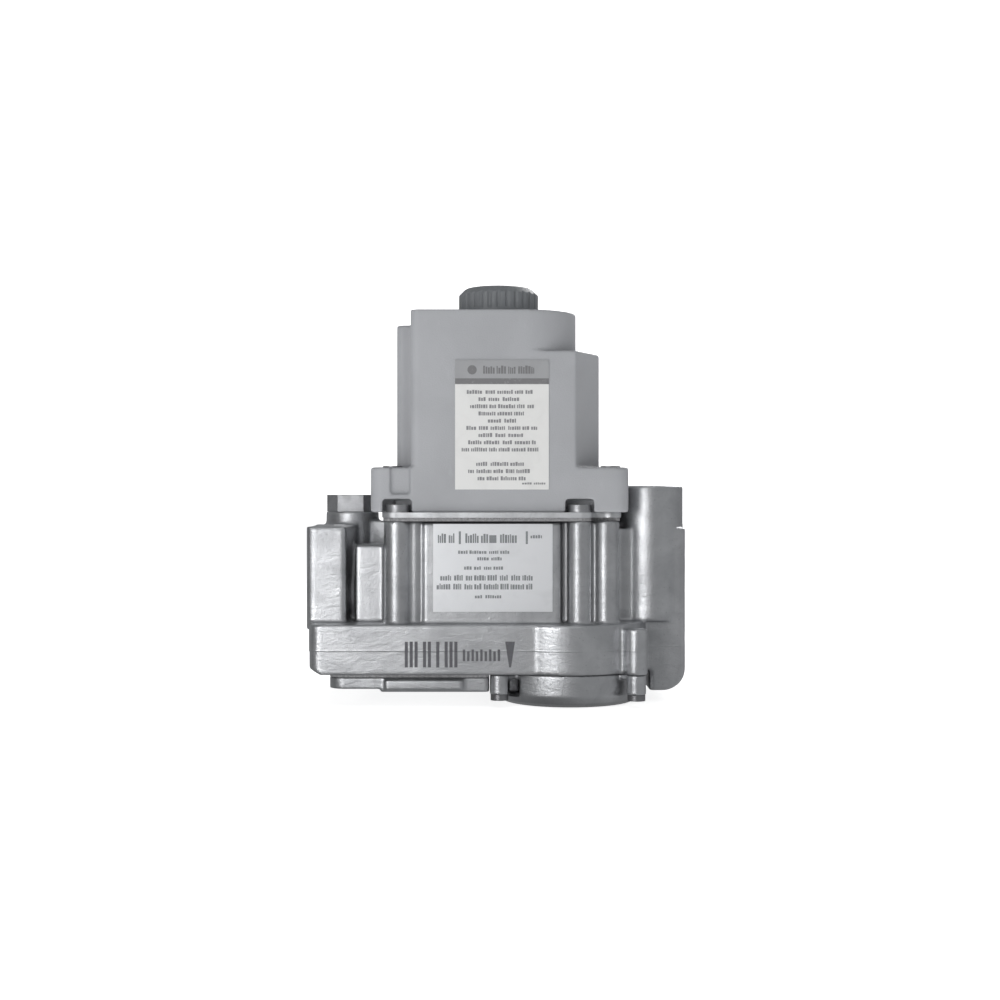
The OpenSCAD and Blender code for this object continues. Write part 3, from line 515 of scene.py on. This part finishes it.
def add_label_print():
    """Stand-in print for the cover's label: a heading with a round mark, a bar and rows of strokes."""
    low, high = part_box("cover_label")
    width = high.x - low.x
    header_floor = high.z - 4.7 * MM
    bar_floor = header_floor - 1.5 * MM
    field = Print(low.y)
    field.bar(low.x, high.x, header_floor, high.z)
    grey = printed_film("label_heading", (0.31, 0.315, 0.325), roughness=0.5)
    add_piece("label_heading", field.mesh("label_heading"), grey, "valve")

    bar = Print(low.y)
    bar.bar(low.x, high.x, bar_floor, header_floor)
    mark_r = 1.2 * MM
    mark_x = low.x + 4.4 * MM
    mark_z = header_floor + 2.2 * MM
    turns = [t * math.pi / 12 for t in range(24)]
    bar.lift = 0.05 * MM
    bar.shape([(mark_x + mark_r * math.sin(a), mark_z + mark_r * math.cos(a)) for a in turns])
    bar.words(low.x + width * 0.59, width * 0.58, mark_z - 1.0 * MM, 2.1 * MM, 11)
    dark = printing_ink("heading_ink", (0.165, 0.165, 0.17))
    add_piece("heading_marks", bar.mesh("heading_marks"), dark, "valve")

    text = Print(low.y)
    pitch = 1.86 * MM
    row_shares = (0.75, 0.5, 0.68, 0.50, 0.30, 0.76, 0.5, 0.72, 0.86, 0.0, 0.55, 0.72, 0.52)
    for i, share in enumerate(row_shares):
        if share:
            row = bar_floor - 2.5 * MM - i * pitch
            text.words(low.x + width * 0.50, width * share, row, 1.05 * MM, 20 + i)
    text.words(high.x - 3.9 * MM, 6.0 * MM, low.z + 1.3 * MM, 0.55 * MM, 60)
    ink = printing_ink("label_ink", (0.22, 0.22, 0.23))
    add_piece("label_print", text.mesh("label_print"), ink, "valve")


def add_rating_print():
    """Stand-in print for the rating plate: one row of blocks over rows of strokes."""
    low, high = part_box("rating_plate")
    width = high.x - low.x
    ink = Print(low.y)
    row = high.z - 4.9 * MM
    tall = 2.5 * MM
    for start, share in ((0.04, 0.15), (0.27, 0.19), (0.56, 0.16)):
        ink.words(low.x + width * (start + share / 2), width * share, row, tall, int(100 * start))
    ink.bar(low.x + width * 0.47, low.x + width * 0.53, row, row + tall * 0.8)
    for share in (0.215, 0.775):
        ink.bar(low.x + width * share, low.x + width * (share + 0.018),
                row - 0.3 * MM, row + tall * 1.2)
    ink.words(low.x + width * 0.87, width * 0.11, row + 1.2 * MM, 0.9 * MM, 75)
    rows = ((0.44, 0.46, 5.1), (0.48, 0.22, 6.8), (0.43, 0.34, 9.2),
            (0.45, 0.78, 12.0), (0.43, 0.80, 14.3), (0.46, 0.22, 16.6))  # middle, share, mm down
    for i, (middle, share, drop) in enumerate(rows):
        tall = 1.5 * MM if share > 0.7 else 0.9 * MM
        ink.words(low.x + width * middle, width * share, high.z - (drop + 2.6) * MM, tall, 80 + i)
    material = printing_ink("plate_ink", (0.20, 0.21, 0.22))
    add_piece("plate_print", ink.mesh("plate_print"), material, "valve")


def add_date_marks():
    """Ink stamp on the slab in place of a date: tall bars, short bars and a plain wedge."""
    ink = Print(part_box("valve_body")[0].y + SLAB_SET_BACK)
    floor = -17.4 * MM
    top = floor + 6.6 * MM
    x = 26.4 * MM
    for bars in (3, 2, 1, 3):
        for _ in range(bars):
            ink.bar(x, x + 0.8 * MM, floor, top)
            x += 1.25 * MM
        x += 0.9 * MM
    for k in range(9):
        ink.bar(x, x + 0.62 * MM, floor + 1.6 * MM, floor + (4.6 - 0.5 * (k % 2)) * MM)
        x += 1.12 * MM
    x += 0.8 * MM
    ink.shape([(x + 1.0 * MM, floor), (x + 1.5 * MM, floor), (x + 2.5 * MM, top), (x, top)])
    material = printing_ink("stamp_ink", (0.09, 0.09, 0.10))
    add_piece("date_marks", ink.mesh("date_marks"), material, "valve")


def add_port_thread(name, mouth, inward, metal):
    """Helical ridges of the pipe thread, standing in from the port's wall."""
    pitch = 25.4 / 14 * MM
    wall = 10.0 * MM
    rise = 0.95 * MM
    root = wall + 0.05 * MM  # sunk a little into the casting
    first_turn = 0.9 * MM
    per_turn = 72
    steps = int(12.2 * MM / pitch * per_turn)
    build = bmesh.new()
    rings = []
    for i in range(steps + 1):
        angle = 2 * math.pi * i / per_turn
        along = first_turn + pitch * i / per_turn
        fade = min(1.0, i / (per_turn * 0.6), (steps - i) / (per_turn * 1.5) + 0.02)
        crest = wall - rise * fade
        ring = []
        for radius, shift in ((root, -0.46), (crest, -0.06), (crest, 0.06), (root, 0.46)):
            x = mouth + inward * (along + shift * pitch)
            ring.append(build.verts.new((x, radius * math.cos(angle), radius * math.sin(angle))))
        rings.append(ring)
    for a, b in zip(rings, rings[1:]):
        for k in range(3):
            build.faces.new((a[k], a[k + 1], b[k + 1], b[k]))
        build.faces.new((a[3], a[0], b[0], b[3]))
    build.faces.new(rings[0])
    build.faces.new(list(reversed(rings[-1])))
    bmesh.ops.recalc_face_normals(build, faces=build.faces)
    mesh = mesh_from(build, name)
    mesh.shade_smooth()
    mesh.set_sharp_from_angle(angle=math.radians(30))
    add_piece(name, mesh, metal, "valve")


def flexing_copy(node, name, low, high):
    """A copy of the part of a thin CAD solid between two heights."""
    build = bmesh.new()
    build.from_mesh(frame["nodes"][node].data)
    bmesh.ops.remove_doubles(build, verts=build.verts, dist=SAME_POINT)
    for height, outward in ((low, -1), (high, 1)):
        every = list(build.verts) + list(build.edges) + list(build.faces)
        cut = bmesh.ops.bisect_plane(build, geom=every, clear_outer=True,
                                     plane_co=(0, 0, height), plane_no=(0, 0, outward))
        edges = [e for e in cut["geom_cut"] if isinstance(e, bmesh.types.BMEdge)]
        bmesh.ops.holes_fill(build, edges=edges)
    return flexing_piece(build, node, name)


def flexing_piece(build, node, name):
    """The built mesh as a piece that rides no body, in the CAD node's place and material."""
    mesh = mesh_from(build, name)
    mesh.shade_smooth()
    mesh.set_sharp_from_angle(angle=math.radians(40))
    piece = bpy.data.objects.new(name, mesh)
    bpy.context.scene.collection.objects.link(piece)
    mesh.materials.append(frame["nodes"][node].material_slots[0].material)
    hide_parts(node)
    return piece


def bend(piece):
    """Bakes the piece's placement into its mesh; it rides no body and does not bend."""
    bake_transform(piece)


def add_springs():
    """Copies of the coil springs, baked in place; the regulator spring is copied in two halves."""
    for joint in frame["record"]["behaviour"]["joints"]:
        for soft in joint.get("deforming_nodes", ()):
            if soft["node"] in WHOLE_SPRINGS:
                add_whole_spring(soft["node"], soft["fixed_end_z_m"])
    low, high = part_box("regulator_spring")
    middle = (low.z + high.z) / 2
    foot = flexing_copy("regulator_spring", "regulator_spring_foot", low.z - MM, middle)
    bend(foot)
    head = flexing_copy("regulator_spring", "regulator_spring_head", middle, high.z + MM)
    bend(head)


def add_whole_spring(node, fixed_z):
    """A copy of a spring, baked in place; both branches on fixed_z do the same."""
    low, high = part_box(node)
    coil = flexing_copy(node, node + "_coil", low.z - MM, high.z + MM)
    if high.z - fixed_z < fixed_z - low.z:
        bend(coil)
    else:
        bend(coil)


def add_main_diaphragm():
    """A copy of the rubber sheet, baked in place."""
    low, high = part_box("main_diaphragm")
    sheet = flexing_copy("main_diaphragm", "main_diaphragm_sheet", low.z - MM, high.z + MM)
    bend(sheet)


def add_regulator_membrane():
    """A thin rubber ring with a raised middle, turned from a profile of (radius, rise in mm)."""
    low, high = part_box("regulator_diaphragm")
    centre = (low + high) / 2
    rim = (high.x - low.x) / 2
    hole = MM
    plateau = 4.4 * MM
    slope_foot = 6.2 * MM
    profile = ((hole, 0.30), (plateau, 0.30), (slope_foot, 0.0), (rim, 0.0),
               (rim, 0.25), (slope_foot, 0.25), (plateau, 0.60), (hole, 0.60))
    sides = 72
    turns = [2 * math.pi * k / sides for k in range(sides)]
    build = bmesh.new()
    rings = []
    for radius, rise in profile:
        ring = [(centre.x + radius * math.cos(a), centre.y + radius * math.sin(a), low.z + rise * MM)
                for a in turns]
        rings.append([build.verts.new(point) for point in ring])
    for ring, following in zip(rings, rings[1:] + rings[:1]):
        for k in range(sides):
            n = (k + 1) % sides
            build.faces.new((ring[k], ring[n], following[n], following[k]))
    bmesh.ops.recalc_face_normals(build, faces=build.faces)
    membrane = flexing_piece(build, "regulator_diaphragm", "regulator_membrane")
    bend(membrane)


def cad_finishes():
    """Each finish of the CAD nodes that show as they are, with the names of its nodes."""
    zinc = machined_steel("zinc_steel", (0.72, 0.73, 0.75))
    plug_steel = machined_steel("plug_steel", (0.50, 0.505, 0.52), roughness=0.46, edge=0.3)
    bright = machined_steel("bright_steel", (0.86, 0.87, 0.89), roughness=0.44)
    dark_steel = machined_steel("dark_steel", (0.30, 0.30, 0.31), roughness=0.38)
    spring = machined_steel("spring_wire", (0.66, 0.66, 0.67), roughness=0.2, edge=0.05)
    brass = machined_steel("brass_turned", (0.75, 0.55, 0.24), roughness=0.26)
    cap_metal = cast_aluminium("cap_metal", tone=1.05)
    fibre = soft_sheet("gasket_fibre", (0.17, 0.17, 0.175))
    rubber = soft_sheet("seal_rubber", (0.018, 0.018, 0.02), per_metre=1200, roughness=0.6)
    nylon = moulded_plastic("nylon_natural", (0.74, 0.70, 0.60), roughness=0.38, texture=0.05,
                            edge=0.2 * MM)
    black = moulded_plastic("switch_black", (0.02, 0.02, 0.022), roughness=0.45, edge=0.25 * MM)
    red = moulded_plastic("lead_red", (0.45, 0.03, 0.025), roughness=0.4, texture=0.04)
    winding = enamelled_winding("winding_wire")
    foil = printed_film("plate_foil", (0.82, 0.83, 0.85), metallic=0.62, roughness=0.38)
    paper = printed_film("label_film", (0.68, 0.68, 0.67), roughness=0.45)
    return {
        # the operator_screws share this darker steel, which paints the shade of their deep pockets onto
        # the screw heads
        plug_steel: ("inlet_tap_plug", "outlet_tap_plug", "operator_screws"),
        zinc: ("knob_shaft", "core_tube", "pole_piece", "plunger", "servo_core", "servo_flapper",
               "flapper_pin", "switch_bracket", "regulator_sleeve", "spring_seat", "diaphragm_plate"),
        bright: ("operator_plate", "inlet_screen"),
        dark_steel: ("base_plate_screws", "diaphragm_cover_screws", "cover_screws", "first_coil_yoke",
                     "servo_frame"),
        spring: ("main_spring", "plunger_spring", "flapper_spring", "regulator_spring", "coil_clip",
                 "shaft_clip"),
        brass: ("main_stem", "servo_nozzle", "regulator_nozzle", "regulator_button", "terminal_tabs"),
        cap_metal: ("regulator_cap",),
        fibre: ("base_gasket", "operator_gasket"),
        rubber: ("main_diaphragm", "main_valve_disc", "first_valve_disc", "regulator_diaphragm",
                 "cap_seal"),
        nylon: ("first_coil_bobbin", "servo_coil_bobbin", "shaft_bushing", "switch_cam",
                "adjusting_screw"),
        black: ("switch_body", "terminal_block"),
        red: ("switch_button", "coil_leads"),
        winding: ("first_coil_winding", "servo_coil_winding"),
        foil: ("rating_plate",),
        paper: ("cover_label",),
    }


def dress_cad_nodes():
    """Gives the CAD nodes their finishes."""
    for material, names in cad_finishes().items():
        for name in names:
            for slot in frame["nodes"][name].material_slots:
                slot.material = material


# ---------------------------------------------------------------- stage


def add_stage():
    """A pale floor, and a bright round wall that only the camera sees."""
    floor_z = CAD_BOX[0].z - 0.05 * MM
    build = bmesh.new()
    stage_circle(build, floor_z, cap_ends=True)
    floor = stage_object("floor", build, FLOOR_GLOW)
    build = bmesh.new()
    rims = [stage_circle(build, z)["verts"] for z in (floor_z, floor_z + WALL_RADIUS)]
    for k in range(STAGE_SIDES):
        n = (k + 1) % STAGE_SIDES
        build.faces.new((rims[0][k], rims[0][n], rims[1][n], rims[1][k]))
    wall = stage_object("wall", build, WALL_GLOW)
    for ray in ("visible_diffuse", "visible_glossy", "visible_transmission", "visible_shadow"):
        setattr(wall, ray, False)
    floor.visible_glossy = False


def stage_circle(build, z, cap_ends=False):
    """A level circle around the valve's middle."""
    return bmesh.ops.create_circle(build, cap_ends=cap_ends, radius=WALL_RADIUS, segments=STAGE_SIDES,
                                   matrix=Matrix.Translation((VALVE_MIDDLE.x, 0, z)))


def stage_object(name, build, glow):
    """A part of the stage that glows evenly in white."""
    mesh = mesh_from(build, name)
    f = Finish(name + "_paper", roughness=0.9, Emission_Color=(1, 1, 1, 1), Emission_Strength=glow)
    mesh.materials.append(f.done((0.90, 0.90, 0.90)))
    made = bpy.data.objects.new(name, mesh)
    bpy.context.scene.collection.objects.link(made)
    return made


def add_lights():
    """Round soft boxes that aim at the valve's middle and that the camera doesn't see."""
    for name, place, width, watts in LIGHTS:
        data = bpy.data.lights.new(name, "AREA")
        data.shape = "DISK"
        data.size = width
        data.energy = watts
        light = bpy.data.objects.new(name, data)
        light.location = place
        light.rotation_euler = (VALVE_MIDDLE - Vector(place)).to_track_quat("-Z", "Y").to_euler()
        light.visible_camera = False
        bpy.context.scene.collection.objects.link(light)


def add_world():
    """An even room in front of the valve and a dim one behind it."""
    world = bpy.data.worlds.new("studio")
    bpy.context.scene.world = world
    world.use_nodes = True
    tree = world.node_tree

    def node(kind, **settings):
        made = tree.nodes.new("ShaderNode" + kind)
        for key, value in settings.items():
            setattr(made, key, value)
        return made

    def ramp(source, low, high, to_low, to_high):
        made = node("MapRange", interpolation_type="SMOOTHSTEP")
        tree.links.new(source, made.inputs["Value"])
        for socket, number in zip(("From Min", "From Max", "To Min", "To Max"),
                                  (low, high, to_low, to_high)):
            made.inputs[socket].default_value = number
        return made.outputs["Result"]

    def maths(operation, a, b):
        made = node("Math", operation=operation)
        tree.links.new(a, made.inputs[0])
        tree.links.new(b, made.inputs[1])
        return made.outputs["Value"]

    way = node("SeparateXYZ")
    tree.links.new(node("TexCoord").outputs["Generated"], way.inputs["Vector"])
    in_front = ramp(way.outputs["Y"], -0.1, 0.5, 1.0, 0.0)
    sides = ramp(way.outputs["X"], -0.5, 0.6, LEFT_GLOW, RIGHT_GLOW)
    rear = ramp(way.outputs["Y"], -0.1, 0.5, 0.0, REAR_GLOW)
    sky = tree.nodes["Background"]
    sky.inputs["Color"].default_value = (0.97, 0.985, 1.0, 1)
    tree.links.new(maths("ADD", maths("MULTIPLY", in_front, sides), rear), sky.inputs["Strength"])


# ---------------------------------------------------------------- scene

bpy.context.scene.view_settings.view_transform = "Standard"
add_camera()
add_stage()
add_lights()
add_world()
dress_cad_nodes()
add_castings()
add_cover()
add_knob()
thread_metal = cast_aluminium("thread_metal", tone=1.1)
add_port_thread("inlet_thread", CAD_BOX[0][0], 1, thread_metal)
add_port_thread("outlet_thread", CAD_BOX[1][0], -1, thread_metal)
add_label_print()
add_rating_print()
add_date_marks()
add_springs()
add_main_diaphragm()
add_regulator_membrane()
